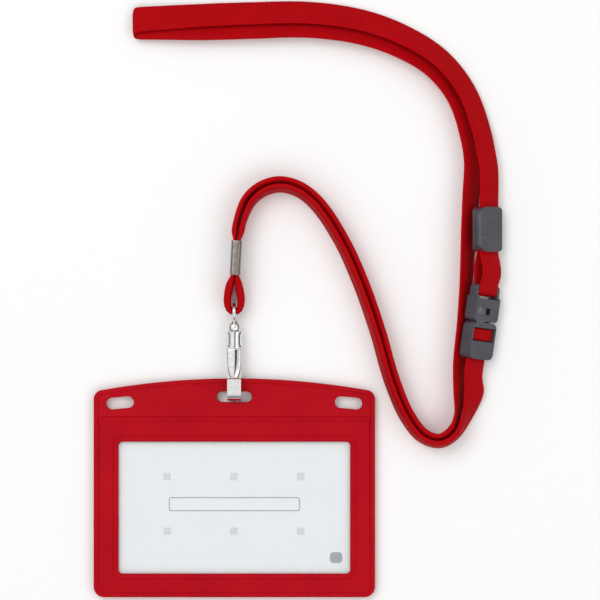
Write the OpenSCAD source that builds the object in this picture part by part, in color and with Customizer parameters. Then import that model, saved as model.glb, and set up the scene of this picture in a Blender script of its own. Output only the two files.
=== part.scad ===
// Lanyard badge holder lying flat: a card holder, a swivel snap hook and a
// neck lanyard with a slide adjuster and a breakaway clasp.
// Millimetres, +Z up. The origin is under the middle of the card holder, on
// the surface it lies on. +X runs along the holder, +Y towards the hook.

/* [Card holder] */
// Width of the holder
holder_w = 107; // [106:0.5:110]
// Height of the holder, at the crown of its top edge
holder_h = 83.2; // [83:0.1:84]
// Radius of the gently arched top edge
top_arch_r = 290; // [250:10:340]
// Radius of the two top corners
top_corner_r = 3.5; // [3:0.1:4]
// Radius of the two bottom corners
bottom_corner_r = 4; // [3:0.1:5]
// Thickness of the back panel
back_t = 0.8; // [0.5:0.1:0.9]
// Thickness of the front panel over the window and header
front_t = 1; // [0.8:0.1:1.2]
// Width of the window
window_w = 88; // [80:1:89]
// Height of the window
window_h = 50.1; // [45:0.1:51]

/* [Card] */
// Width of the business card
card_w = 91; // [89:0.5:91]
// Height of the business card
card_h = 55; // [50:0.5:55]
// Thickness of the card
card_t = 0.3; // [0.2:0.05:0.4]

/* [Slots] */
// End-to-end length of the middle slot, which the hook goes through
hook_slot_l = 13.3; // [12:0.1:14]
// Width of the middle slot
hook_slot_w = 4; // [3.8:0.1:4]
// End-to-end length of each corner slot
corner_slot_l = 10.4; // [9:0.1:11]
// Width of each corner slot
corner_slot_w = 4.4; // [4:0.1:4.6]
// Distance between the centres of the corner slots
corner_slot_gap = 86.8; // [84:0.1:88]
// Slope of each corner slot, up towards the middle
corner_slot_tilt = 5; // [0:1:6]

/* [Ribbon] */
// Width of the ribbon
ribbon_w = 10; // [9:0.5:10]
// Thickness of the ribbon, a flattened woven tube
ribbon_t = 1.4; // [1:0.1:1.4]

/* [Fittings] */
// Width of the clasp and of the adjuster
fitting_w = 13; // [12.8:0.1:13.4]
// Thickness of the clasp and of the adjuster
fitting_t = 5.2; // [5.2:0.1:5.6]
// Length of the adjuster
adjuster_l = 17; // [16:0.5:18]
// Length of the crimped metal sleeve
crimp_l = 13; // [11:0.5:14]

/* [Hidden] */
$fn = 64;
eps = 0.01;

// Heights in the holder, from the surface up
film_t = 0.3;
header_back_t = 0.5;
front_z = 2.4;
front_top = front_z + front_t;
card_z = 1.1;
top_y = holder_h / 2;
mouth_y = 26;
backing_y = 24.1;
pocket_side_x = 46.3;
pocket_floor_y = -35.6;
window_centre_y = -7.55;
window_corner_r = 1.5;
header_line_y = 26.2;
hook_slot_y = 34.6;
corner_slot_y = 32.3;

// The hook, in the plane X = 0
hook_w = 5.2;
neck_w = 4.4;
hook_t = 1.5;
hook_low_y = 33.2;
hook_z = 4.6;
collar_y = 53.5;
collar_top_y = 59.2;
collar_r = 2.95;
collar_bore_r = 2.1;
eye_y = 66.6;
eye_hole_r = 2.6;
eye_wire_r = 0.65;
pin_y = 50.6;
pin_z = 5;
pin_r = 0.6;

// Fittings on the right-hand strap lean over on their long edge
lean = 45;
adjuster_at = [96, 98.2, 6.7];
clasp_at = [93.5, 63.2, 6.6];
clasp_turn = 8;
layer_z = 0.8;
channel_z = 1.65;
channel_x = 5.25;
bar_r = 0.7;
wrap_y = 11.9;
wrap_r = 1.6;
// The ribbon's two layers bow apart between the fittings: y and height of each
// point, from the adjuster's middle
bow = [[-12.4, 1.7], [-15.6, 2.3], [-18.2, 2.1]];
crimp_at = [0.65, 87.4, 5.5];
crimp_turn = 3;
crimp_wall = 0.45;
crimp_layer_x = 0.75;
strap_end_y = 5;
end_gap = 0.05;
sleeve_exit_y = 7.1;
// Thickness of the weave where nothing presses on it
loose_t = 2.2;

// ---- Ribbon routes -------------------------------------------------------
// Two strands lie side by side. Each row is a point of the line between them:
// x, y, distance between the strands, lean of the ribbon's width from level
// (its right-hand edge, seen along the route, is the low one under 90),
// height of the low edges, and extra height of the right-hand strand.
pair_low = [
    [1.3, 96.8, 2.4, 90, 0.3, 0],
    [2.4, 102, 2.7, 88, 0.1, 0],
    [5.6, 109.2, 2.9, 83, 0.1, 0],
    [10.8, 113.6, 2.8, 80, 0.1, 0],
    [17.6, 115.3, 2.7, 79, 0.1, 0],
    [25, 113.2, 2.6, 79, 0.1, 0],
    [32, 107.3, 2.6, 79, 0.1, 0],
    [40.6, 94.2, 2.6, 79, 0.1, 0],
    [47.6, 79, 2.6, 78, 0.1, 0],
    [54.3, 60, 2.6, 78, 0.1, 0],
    [59.8, 41, 2.6, 78, 0.1, 0],
    [65.6, 27.4, 2.6, 79, 0.1, 0],
    [71.6, 19.9, 2.6, 80, 0.1, 0],
    [78, 17.9, 2.6, 80, 0.1, 0],
    [83.4, 21.2, 3, 79, 0.1, 0]
];
// The right-hand strand on its own, up to the clasp
right_alone = [
    [88.9, 28.6, 0, 62, 0.3, 0],
    [91, 37, 0, 40, 1.3, 0]
];
// The left-hand strand on its own, past the clasp and the adjuster
left_alone = [
    [84.9, 28.6, 0, 76, 0.1, 0],
    [85.4, 37, 0, 64, 0.1, 0],
    [85.8, 48, 0, 58, 0.1, 0],
    [87.2, 64, 0, 60, 0.1, 0],
    [88.1, 80, 0, 61, 0.1, 0],
    [89, 98, 0, 55, 0.1, 0],
    [90, 112, 0, 49, 0.1, 0]
];
pair_high = [
    [93.3, 125, 5.2, 44, 0.1, 3],
    [91.2, 136, 4.8, 44, 0.1, 1.8],
    [86, 150, 4.6, 44, 0.1, 0.8],
    [76.6, 161.6, 4.8, 42, 0.1, 0.3],
    [63, 169.9, 5, 38, 0.1, 0],
    [47.8, 175.2, 5.2, 34, 0.1, 0],
    [28, 177.9, 5.3, 31, 0.1, 0],
    [6, 177.6, 5.4, 29, 0.1, 0],
    [-14, 177, 4.9, 26, 0.1, 0.4],
    [-27, 176.8, 3.6, 20, 0.1, 1],
    [-37, 176.6, 2.4, 14, 0.1, 1.5]
];
// The loop from the sleeve round the eye, one side of it from the top down:
// x to the side, y, z, half the bunched width, half the bunched thickness
loop_side = [
    [1.5, 77.6, 5.3, 4.6, 0.9],
    [2.3, 74, 5, 4, 1.15],
    [2.6, 70.6, 4.8, 3.2, 1.25],
    [1.9, 67.9, 4.7, 2, 1.25]
];
loop_low = [0, 66.8, 4.6, 1.6, 1.2];

// ---- Functions that turn a route into rings ------------------------------
// A ring is its centre, the direction of the ribbon's width, half the width
// and half the thickness
function unit(v) = v / norm(v);
function last(list) = list[len(list) - 1];
function heading(route, i) =
    let (a = route[max(i - 1, 0)], b = route[min(i + 1, len(route) - 1)])
    unit([b[0] - a[0], b[1] - a[1]]);
function pair_ring(route, i, hand, thick) =
    let (row = route[i], h = heading(route, i), side = [h[1], -h[0]])
    let (low = row[4] + (hand > 0 ? row[5] : 0))
    let (z = ribbon_w / 2 * sin(row[3]) + thick / 2 * abs(cos(row[3])) + low)
    [[row[0] + side[0] * hand * row[2] / 2, row[1] + side[1] * hand * row[2] / 2, z],
     [side[0] * cos(row[3]), side[1] * cos(row[3]), -sin(row[3])],
     ribbon_w / 2, thick / 2];
function strand(route, hand, thick) =
    [for (i = [0 : len(route) - 1]) pair_ring(route, i, hand, thick)];
function reversed(list) = [for (i = [len(list) - 1 : -1 : 0]) list[i]];
function turned(v, a) = [v[0] * cos(a) - v[1] * sin(a), v[0] * sin(a) + v[1] * cos(a), v[2]];
function leaned(v, a) = [v[0] * cos(a) + v[2] * sin(a), v[1], v[2] * cos(a) - v[0] * sin(a)];
function fitting_ring(at, turn, p) =
    [at + turned(leaned(p, lean), -turn), turned(leaned([1, 0, 0], lean), -turn),
     ribbon_w / 2, ribbon_t / 2];
function crimp_ring(x, y) =
    [crimp_at + turned([x, y, 0], -crimp_turn), [0, 0, -1], ribbon_w / 2, ribbon_t / 2];
function loop_ring(row, hand) =
    [[row[0] * hand, row[1], row[2]], [0, 0, -1], row[3], row[4]];

// Half circle of rings between two rings that face each other
function fold_rings(a, b) =
    let (mid = (a[0] + b[0]) / 2, arm = (a[0] - b[0]) / 2)
    let (out = unit(cross(a[1], arm)) * norm(arm - a[1] * (arm * a[1])))
    [for (t = [45 : 45 : 135]) [mid + arm * cos(t) + out * sin(t), a[1], a[2], a[3]]];

// Round the strap bar of the clasp, from its front to its back
wrap_rings = [for (t = [0 : 60 : 180])
    fitting_ring(clasp_at, clasp_turn, [0, wrap_y - wrap_r * sin(t), wrap_r * cos(t)])];

upper_left = strand(pair_high, -1, ribbon_t);
upper_right = strand(pair_high, 1, ribbon_t);
long_rings = concat(
    [crimp_ring(-crimp_layer_x, end_gap - strap_end_y), crimp_ring(-crimp_layer_x, sleeve_exit_y)],
    strand(pair_low, -1, loose_t), strand(left_alone, 0, ribbon_t),
    upper_left, fold_rings(last(upper_left), last(upper_right)), reversed(upper_right),
    [fitting_ring(adjuster_at, 0, [0, 23, layer_z]),
     fitting_ring(adjuster_at, 0, [0, -9, layer_z])],
    [for (p = bow) fitting_ring(adjuster_at, 0, [0, p[0], p[1]])],
    [fitting_ring(clasp_at, clasp_turn, [0, 14.8, wrap_r])],
    wrap_rings,
    [fitting_ring(clasp_at, clasp_turn, [0, 14.8, -wrap_r])],
    [for (p = reversed(bow)) fitting_ring(adjuster_at, 0, [0, p[0], -p[1]])],
    [fitting_ring(adjuster_at, 0, [0, -9, -layer_z]),
     fitting_ring(adjuster_at, 0, [0, 8, -layer_z])]
);
short_rings = concat(
    [crimp_ring(crimp_layer_x, end_gap - strap_end_y), crimp_ring(crimp_layer_x, sleeve_exit_y)],
    strand(pair_low, 1, loose_t), strand(right_alone, 0, ribbon_t),
    [fitting_ring(clasp_at, clasp_turn, [0, -20.6, 0]),
     fitting_ring(clasp_at, clasp_turn, [0, -13.4, 0])]
);
loop_rings = concat(
    [crimp_ring(-crimp_layer_x, -end_gap - strap_end_y), crimp_ring(-crimp_layer_x, -crimp_l / 2)],
    [for (row = loop_side) loop_ring(row, -1)],
    [loop_ring(loop_low, 1)],
    [for (row = reversed(loop_side)) loop_ring(row, 1)],
    [crimp_ring(crimp_layer_x, -crimp_l / 2), crimp_ring(crimp_layer_x, -end_gap - strap_end_y)]
);

// ---- Shared shapes -------------------------------------------------------
module plate(z, t) {
    translate([0, 0, z]) linear_extrude(t) children();
}

module round_rect(w, h, r) {
    square([w - 2 * r, h], center = true);
    square([w, h - 2 * r], center = true);
    for (x = [-1, 1], y = [-1, 1]) {
        translate([x * (w / 2 - r), y * (h / 2 - r)]) circle(r);
    }
}

module slot_2d(l, w) {
    square([l - w, w], center = true);
    for (x = [-1, 1]) {
        translate([x * (l - w) / 2, 0]) circle(w / 2);
    }
}

// A shape drawn as y, z in the hook's plane, made w wide across it
module across(w) {
    rotate([90, 0, 90]) linear_extrude(w, center = true) children();
}

module along_x(y, z, w, r) {
    translate([0, y, z]) rotate([0, 90, 0]) cylinder(h = w, r = r, center = true);
}

module in_fitting(at, turn) {
    translate(at) rotate([0, 0, -turn]) rotate([0, lean, 0]) children();
}

// A block given by its low and high corners
module block(low, high) {
    translate(low) cube(high - low);
}

// One closed solid swept through rings, with eight sides
module ribbon(rings) {
    n = len(rings);
    bevel = 0.35;
    centres = [for (ring = rings) ring[0]];
    points = [for (i = [0 : n - 1])
        let (t = unit(centres[min(i + 1, n - 1)] - centres[max(i - 1, 0)]))
        let (wide = unit(rings[i][1]), thick = unit(cross(t, wide)))
        let (a = rings[i][2], b = rings[i][3])
        for (p = [[a, b - bevel], [a - bevel, b], [bevel - a, b], [-a, b - bevel],
                  [-a, bevel - b], [bevel - a, -b], [a - bevel, -b], [a, bevel - b]])
            centres[i] + wide * p[0] + thick * p[1]];
    sides = [for (i = [0 : n - 2], j = [0 : 7], half = [0, 1])
        let (a = i * 8 + j, b = i * 8 + (j + 1) % 8)
        half == 0 ? [a, a + 8, b + 8] : [a, b + 8, b]];
    ends = [[for (j = [0 : 7]) j], [for (j = [7 : -1 : 0]) (n - 1) * 8 + j]];
    polyhedron(points, concat(sides, ends), convexity = 8);
}

// ---- Card holder ---------------------------------------------------------
// Outline of the holder, moved in by a distance
module holder_outline(inset) {
    arch_centre_y = top_y - top_arch_r;
    side_x = holder_w / 2 - top_corner_r;
    corner_y = arch_centre_y + sqrt(pow(top_arch_r - top_corner_r, 2) - pow(side_x, 2));
    base_y = bottom_corner_r - top_y;
    base_x = holder_w / 2 - bottom_corner_r;
    intersection() {
        translate([0, arch_centre_y]) circle(top_arch_r - inset, $fn = 720);
        polygon([[0, arch_centre_y], [side_x, corner_y] * 2 - [0, arch_centre_y],
            [-side_x, corner_y] * 2 - [0, arch_centre_y]]);
        translate([-holder_w, 0]) square([2 * holder_w, 2 * holder_h]);
    }
    for (x = [-1, 1]) {
        translate([x * side_x, corner_y]) circle(top_corner_r - inset);
        translate([x * base_x, base_y]) circle(bottom_corner_r - inset);
    }
    translate([inset - holder_w / 2, base_y]) square([holder_w - 2 * inset, corner_y - base_y]);
    translate([-base_x, inset - top_y]) square([2 * base_x, holder_h / 2]);
}

module header_slots() {
    translate([0, hook_slot_y]) slot_2d(hook_slot_l, hook_slot_w);
    for (x = [-1, 1]) {
        translate([x * corner_slot_gap / 2, corner_slot_y])
            rotate(-x * corner_slot_tilt) slot_2d(corner_slot_l, corner_slot_w);
    }
}

module window(grow) {
    translate([0, window_centre_y])
        round_rect(window_w + 2 * grow, window_h + 2 * grow, window_corner_r + grow);
}

// Thin pressed lines round the border and round the window
module weld_lines() {
    difference() {
        holder_outline(1.5);
        holder_outline(2);
    }
    difference() {
        window(2.3);
        window(1.8);
    }
}

module front_panel() {
    line_half = 0.75;
    lip = 1;
    lip_h = 0.15;
    line_l = holder_w - 3.4;
    line_depth = 0.4;
    weld_depth = 0.25;
    color("firebrick") difference() {
        union() {
            plate(front_z, front_t) holder_outline(0);
            plate(back_t, front_z - back_t) difference() {
                intersection() {
                    holder_outline(0);
                    translate([-holder_w, -holder_h]) square([2 * holder_w, holder_h + backing_y]);
                }
                translate([-pocket_side_x, pocket_floor_y])
                    square([2 * pocket_side_x, holder_h]);
            }
            for (side = [-1, 1]) {
                translate([0, header_line_y + side * (line_half + lip / 2), 0])
                    plate(front_top - eps, lip_h) square([line_l, lip], center = true);
            }
        }
        plate(front_z - 1, front_t + 2) {
            window(0);
            header_slots();
        }
        plate(front_top - weld_depth, 1) weld_lines();
        translate([0, header_line_y, 0])
            plate(front_top - line_depth, 1) square([line_l, 2 * line_half], center = true);
    }
}

module back_panel() {
    thumb_r = 9;
    thumb_y = mouth_y + 2;
    color("firebrick") plate(0, back_t) difference() {
        intersection() {
            holder_outline(0);
            translate([-holder_w, -holder_h]) square([2 * holder_w, holder_h + mouth_y]);
        }
        translate([0, thumb_y]) circle(thumb_r);
    }
}

module header_backing() {
    color("firebrick") plate(front_z - header_back_t, header_back_t) difference() {
        intersection() {
            holder_outline(0);
            translate([-holder_w, backing_y]) square([2 * holder_w, holder_h]);
        }
        header_slots();
    }
}

module window_film() {
    film_w = window_w + 4.2;
    film_h = window_h + 4.4;
    color("aliceblue") translate([0, window_centre_y, 0])
        plate(front_z - film_t, film_t) square([film_w, film_h], center = true);
}

module card_insert() {
    card_centre_y = window_centre_y - 0.15;
    color("white") translate([0, card_centre_y, 0])
        plate(card_z, card_t) square([card_w, card_h], center = true);
}

// ---- Snap hook -----------------------------------------------------------
// A quarter of a ring about the origin, in the quadrant given by two signs
module quarter_ring(inner_r, outer_r, sx, sy) {
    intersection() {
        difference() {
            circle(outer_r);
            circle(inner_r);
        }
        translate([sx > 0 ? 0 : -outer_r, sy > 0 ? 0 : -outer_r]) square(outer_r);
    }
}

module hook_frame() {
    heel_r = 2.8;
    toe_r = 3.9;
    spine_low = 0.1;
    heel = [hook_low_y + heel_r, spine_low + heel_r];
    toe = [hook_low_y + toe_r, 5.2];
    tip_end_y = 41.4;
    lug_r = 1.5;
    color("silver") {
        difference() {
            union() {
                across(hook_w) {
                    translate(heel) quarter_ring(heel_r - hook_t, heel_r, -1, -1);
                    translate([hook_low_y, heel[1]]) square([hook_t, toe[1] - heel[1]]);
                    translate(toe) quarter_ring(toe_r - hook_t, toe_r, -1, 1);
                    translate([toe[0], toe[1] + toe_r - hook_t])
                        square([tip_end_y - toe[0], hook_t]);
                    translate([heel[0], spine_low]) square([51 - heel[0], hook_t]);
                }
                across(neck_w) {
                    polygon([[46.5, spine_low], [46.5, 1.6], [49.3, 5.6], [50.4, 6.5],
                        [collar_y, 6.5], [collar_y, 1.6], [51, spine_low]]);
                }
                translate([0, collar_y - 1, hook_z]) rotate([-90, 0, 0])
                    cylinder(h = 2.5, r = collar_bore_r - 0.02);
            }
            along_x(pin_y, pin_z, 2 * hook_w, pin_r + 0.03);
            along_x(pin_y, pin_z, 2.2, lug_r + 0.1);
            translate([-1.1, pin_y - 2, pin_z]) cube([2.2, 2, 2]);
        }
    }
}

module swivel_collar() {
    lip = 0.4;
    lip_l = 0.8;
    h = collar_top_y - collar_y;
    wall_y = 4.3;
    color("silver") translate([0, collar_y, hook_z]) rotate([-90, 0, 0]) rotate_extrude() {
        difference() {
            union() {
                square([collar_r, h]);
                square([collar_r + lip, lip_l]);
                translate([0, h - lip_l]) square([collar_r + lip, lip_l]);
            }
            translate([-eps, -1]) square([collar_bore_r + eps, wall_y + 1]);
            translate([-eps, 0]) square([1.1 + eps, h + 1]);
        }
    }
}

module swivel_eye() {
    ball_y = 61;
    ball_r = 2.6;
    color("silver") {
        translate([0, eye_y, hook_z]) rotate([0, 90, 0]) rotate_extrude()
            translate([eye_hole_r + eye_wire_r, 0]) circle(eye_wire_r);
        difference() {
            translate([0, ball_y, hook_z]) sphere(ball_r);
            block([-5, 50, -5], [5, collar_top_y + 0.2, 15]);
            along_x(eye_y, hook_z, 20, eye_hole_r);
        }
        translate([0, 56.2, hook_z]) rotate([-90, 0, 0]) {
            cylinder(h = 1.3, r = 1.9);
            cylinder(h = 4, r = 1.03);
        }
    }
}

module gate_lever() {
    cheek_x = 2.85;
    cheek_t = 0.5;
    top_z = 8.6;
    sheet = 0.8;
    nose_y = 42;
    tail_y = 53;
    color("silver") difference() {
        union() {
            plate(top_z - sheet, sheet) polygon([[-1.7, nose_y + 0.4], [-1.3, nose_y],
                [1.3, nose_y], [1.7, nose_y + 0.4], [2.4, 44.5], [cheek_x, 48], [cheek_x, tail_y],
                [-cheek_x, tail_y], [-cheek_x, 48], [-2.4, 44.5]]);
            for (side = [-1, 1]) {
                translate([side * (cheek_x - cheek_t / 2), 0, 0]) across(cheek_t) {
                    translate([pin_y, pin_z]) circle(1.7);
                    polygon([[48.6, top_z - eps], [49, pin_z], [pin_y + 1.7, pin_z],
                        [tail_y, top_z - eps]]);
                }
            }
        }
        along_x(pin_y, pin_z, 20, pin_r + 0.05);
    }
}

module gate_pin() {
    color("silver") along_x(pin_y, pin_z, 6, pin_r);
}

module gate_spring() {
    color("gray") difference() {
        along_x(pin_y, pin_z, 1.8, 1.35);
        along_x(pin_y, pin_z, 4, 0.75);
    }
}

// ---- Sleeve, loop and straps ---------------------------------------------
module crimp_sleeve() {
    inner_w = 2 * crimp_layer_x + ribbon_t + 0.1;
    inner_h = ribbon_w + 0.1;
    color("gainsboro") translate(crimp_at) rotate([0, 0, -crimp_turn]) rotate([90, 0, 0])
        linear_extrude(crimp_l, center = true) difference() {
            round_rect(inner_w + 2 * crimp_wall, inner_h + 2 * crimp_wall, 1.2);
            square([inner_w, inner_h], center = true);
        }
}

module crimp_loop() {
    color("crimson") ribbon(loop_rings);
}

module strap_long() {
    color("crimson") ribbon(long_rings);
}

module strap_short() {
    color("crimson") ribbon(short_rings);
}

// ---- Adjuster ------------------------------------------------------------
module adjuster_section() {
    difference() {
        round_rect(fitting_w, fitting_t, 1.5);
        square([2 * channel_x, 2 * channel_z], center = true);
        translate([-fitting_w, -fitting_t]) square([2 * fitting_w, fitting_t + 0.1]);
    }
}

module adjuster_half() {
    corner_r = 3.4;
    intersection() {
        rotate([90, 0, 0]) linear_extrude(adjuster_l, center = true) adjuster_section();
        plate(-fitting_t, 2 * fitting_t) round_rect(fitting_w, adjuster_l, corner_r);
    }
}

module adjuster_pegs(r, h) {
    wall_x = (channel_x + fitting_w / 2) / 2;
    for (x = [-1, 1], y = [-1, 1]) {
        translate([x * wall_x, y * 5, -h / 2]) cylinder(h = h, r = r, $fn = 24);
    }
}

module adjuster_front() {
    grip_l = 6;
    grip_w = 0.8;
    grip_h = 0.25;
    grip_pitch = 2.1;
    color("dimgray") in_fitting(adjuster_at, 0) {
        adjuster_half();
        adjuster_pegs(0.35, 1.6);
        for (row = [-1, 0, 1]) {
            translate([0, row * grip_pitch, 0])
                plate(fitting_t / 2 - eps, grip_h) round_rect(grip_l, grip_w, 0.35);
        }
    }
}

module adjuster_back() {
    color("dimgray") in_fitting(adjuster_at, 0) difference() {
        mirror([0, 0, 1]) adjuster_half();
        adjuster_pegs(0.4, 2.4);
    }
}

// ---- Breakaway clasp -----------------------------------------------------
module clasp_outline(low_y, high_y, r) {
    translate([0, (low_y + high_y) / 2]) round_rect(fitting_w, high_y - low_y, r);
}

module clasp_socket() {
    slot_low = [-1.7, 2.8];
    slot_high = [2.9, 5.2];
    reach = 15;
    // The slot goes straight down through the leaning socket
    color("dimgray") difference() {
        in_fitting(clasp_at, clasp_turn) socket_body();
        translate(clasp_at) rotate([0, 0, -clasp_turn])
            block([slot_low[0], slot_low[1], -reach], [slot_high[0], slot_high[1], reach]);
    }
}

module socket_body() {
    low_y = 0.2;
    high_y = 13.9;
    box_y = 8.8;
    wall_z = 1.2;
    half_t = fitting_t / 2;
    ear_x = 5.3;
    ear_z = 1.6;
    ear_y = box_y + 0.6;
    bar_y = [12, 13.2];
    bar_x = 5.5;
    difference() {
        plate(-half_t, fitting_t) clasp_outline(low_y, high_y, 1.6);
        block([-4.9, low_y - 1, -wall_z], [4.9, box_y - 1.4, wall_z]);
        block([-ear_x, box_y, -5], [ear_x, high_y + 1, 5]);
        block([-10, ear_y, ear_z], [10, high_y + 1, 5]);
        block([-10, ear_y, -5], [10, high_y + 1, -ear_z]);
    }
    for (y = bar_y) {
        along_x(y, 0, 2 * bar_x, bar_r);
    }
    block([-bar_x, bar_y[0], -bar_r], [bar_x, bar_y[1], bar_r]);
}

module clasp_plug() {
    low_y = -14.2;
    high_y = -0.2;
    prong_x = 3.3;
    recess_x = 5.9;
    recess_y = [-7.4, -2.3];
    half_t = fitting_t / 2;
    half_channel = 0.95;
    color("dimgray") in_fitting(clasp_at, clasp_turn) {
        difference() {
            plate(-half_t, fitting_t) clasp_outline(low_y, high_y, 2.4);
            block([-channel_x, low_y - 1, -half_channel], [channel_x, recess_y[1], half_channel]);
            block([-recess_x, recess_y[0], half_channel - 0.05], [recess_x, recess_y[1], 5]);
        }
        // Two prongs, each with a small catch on its outer side
        for (side = [0, 1]) {
            mirror([side, 0, 0]) {
                block([prong_x, -1, -half_channel], [4.4, 5.6, half_channel]);
                block([4.3, 4, -half_channel], [4.7, 5, half_channel]);
            }
        }
    }
}

// The ribbon's doubled end, which fills the window of the plug
module plug_strap_end() {
    end_y = [-7.2, -2.5];
    pad_x = 5.7;
    pad_z = [1, 2];
    color("crimson") in_fitting(clasp_at, clasp_turn) {
        block([-ribbon_w / 2, end_y[0], -ribbon_t / 2], [ribbon_w / 2, end_y[1], pad_z[0] + 0.1]);
        block([-pad_x, end_y[0], pad_z[0]], [pad_x, end_y[1], pad_z[1]]);
    }
}

front_panel();
back_panel();
header_backing();
window_film();
card_insert();
hook_frame();
swivel_collar();
swivel_eye();
gate_lever();
gate_pin();
gate_spring();
crimp_sleeve();
crimp_loop();
strap_long();
strap_short();
adjuster_front();
adjuster_back();
clasp_socket();
clasp_plug();
plug_strap_end();
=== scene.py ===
import math
import bpy
import bmesh
from mathutils import Matrix, Vector, noise
from mathutils.geometry import tessellate_polygon


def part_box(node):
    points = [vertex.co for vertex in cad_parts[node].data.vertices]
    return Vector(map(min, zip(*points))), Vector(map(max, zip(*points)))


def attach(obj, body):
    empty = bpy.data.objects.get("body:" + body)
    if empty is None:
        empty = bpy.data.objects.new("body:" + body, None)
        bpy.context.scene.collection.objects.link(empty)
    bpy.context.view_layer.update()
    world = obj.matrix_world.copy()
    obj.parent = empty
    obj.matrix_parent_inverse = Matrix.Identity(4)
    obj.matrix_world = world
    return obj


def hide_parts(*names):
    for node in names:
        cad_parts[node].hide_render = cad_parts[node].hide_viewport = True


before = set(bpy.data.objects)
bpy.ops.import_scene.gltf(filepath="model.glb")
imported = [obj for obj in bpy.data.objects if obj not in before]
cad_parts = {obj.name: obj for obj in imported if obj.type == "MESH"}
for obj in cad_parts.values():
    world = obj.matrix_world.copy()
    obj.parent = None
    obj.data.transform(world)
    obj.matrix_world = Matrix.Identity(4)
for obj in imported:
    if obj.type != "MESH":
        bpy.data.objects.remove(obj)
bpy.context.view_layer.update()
mm = 0.001
scene = bpy.context.scene
scene.view_settings.view_transform = "Standard"

# camera, floor and light: straight down on a white table
studio = {
    "lookAt": (24.96, 71.4),  # mm, the middle of the view
    "height": 1400,
    "lens": 220.5,
    "sensor": 36,
    # place from the middle of the view in m, size in m, power in W
    "softboxes": {
        "keySoftbox": ((-0.4, 0.4, 0.95), 0.6, 3.0),
        "fillSoftbox": ((0.55, -0.3, 0.9), 0.8, 1.6),
    },
    "roomLight": 0.98,
    "roomDark": 0.16,  # towards the horizon
    "roomFade": (0.15, 0.75),  # where the light grows, from 0 at the horizon to 1 overhead
    "flagLean": 16,  # degrees from straight up to the middle of the dark card
    "flagWide": 13,
    "flagEdge": 2,
    "flagLight": 0.03,
    "floorWhite": (0.96, 0.96, 0.96, 1),
    "floorHalf": 3,
    "floorDrop": 0.2,  # mm under the lowest piece
}


def addSoftbox(name, middle):
    offset, size, power = studio["softboxes"][name]
    data = bpy.data.lights.new(name, "AREA")
    data.size = size
    data.energy = power
    lamp = bpy.data.objects.new(name, data)
    lamp.location = middle + Vector(offset)
    lamp.rotation_euler = (-Vector(offset)).to_track_quat("-Z", "Y").to_euler()
    scene.collection.objects.link(lamp)


def makeRoom():
    # a soft room, brighter overhead, with one dark card that polished metal mirrors
    world = bpy.data.worlds.new("softRoom")
    world.use_nodes = True
    tree = world.node_tree
    background = tree.nodes["Background"]
    background.inputs["Color"].default_value = (1, 1, 1, 1)
    place = tree.nodes.new("ShaderNodeTexCoord").outputs["Generated"]
    height = tree.nodes.new("ShaderNodeSeparateXYZ")
    tree.links.new(place, height.inputs[0])
    sky = tree.nodes.new("ShaderNodeMapRange")
    tree.links.new(height.outputs[2], sky.inputs["Value"])
    sky.inputs["From Min"].default_value = studio["roomFade"][0]
    sky.inputs["From Max"].default_value = studio["roomFade"][1]
    sky.inputs["To Min"].default_value = studio["roomDark"]
    sky.inputs["To Max"].default_value = studio["roomLight"]
    lean = math.radians(studio["flagLean"])
    towards = tree.nodes.new("ShaderNodeVectorMath")
    towards.operation = "DOT_PRODUCT"
    tree.links.new(place, towards.inputs[0])
    towards.inputs[1].default_value = (math.sin(lean), 0, math.cos(lean))
    flag = tree.nodes.new("ShaderNodeMapRange")
    tree.links.new(towards.outputs["Value"], flag.inputs["Value"])
    wide, edge = studio["flagWide"], studio["flagEdge"]
    flag.inputs["From Min"].default_value = math.cos(math.radians(wide + edge))
    flag.inputs["From Max"].default_value = math.cos(math.radians(wide - edge))
    flag.inputs["To Min"].default_value = 1
    flag.inputs["To Max"].default_value = studio["flagLight"]
    light = tree.nodes.new("ShaderNodeMath")
    light.operation = "MULTIPLY"
    tree.links.new(sky.outputs["Result"], light.inputs[0])
    tree.links.new(flag.outputs["Result"], light.inputs[1])
    tree.links.new(light.outputs["Value"], background.inputs["Strength"])
    scene.world = world


def setUpStudio():
    x, y = studio["lookAt"]
    middle = Vector((x, y, 0)) * mm
    cameraData = bpy.data.cameras.new("tableCamera")
    cameraData.lens = studio["lens"]
    cameraData.sensor_width = studio["sensor"]
    cameraData.clip_end = 10
    camera = bpy.data.objects.new("tableCamera", cameraData)
    camera.location = Vector((x, y, studio["height"])) * mm
    scene.collection.objects.link(camera)
    scene.camera = camera

    makeRoom()
    for name in studio["softboxes"]:
        addSoftbox(name, middle)

    floorMesh = bpy.data.meshes.new("tableTop")
    half = studio["floorHalf"]
    corners = [(-half, -half, 0), (half, -half, 0), (half, half, 0), (-half, half, 0)]
    floorMesh.from_pydata(corners, [], [(0, 1, 2, 3)])
    floor = bpy.data.objects.new("tableTop", floorMesh)
    floor.location = (0, 0, -studio["floorDrop"] * mm)
    scene.collection.objects.link(floor)
    paper = bpy.data.materials.new("paleTable")
    paper.use_nodes = True
    shader = paper.node_tree.nodes["Principled BSDF"]
    shader.inputs["Base Color"].default_value = studio["floorWhite"]
    shader.inputs["Roughness"].default_value = 0.8
    floorMesh.materials.append(paper)
    print("studio ready")


setUpStudio()


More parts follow.
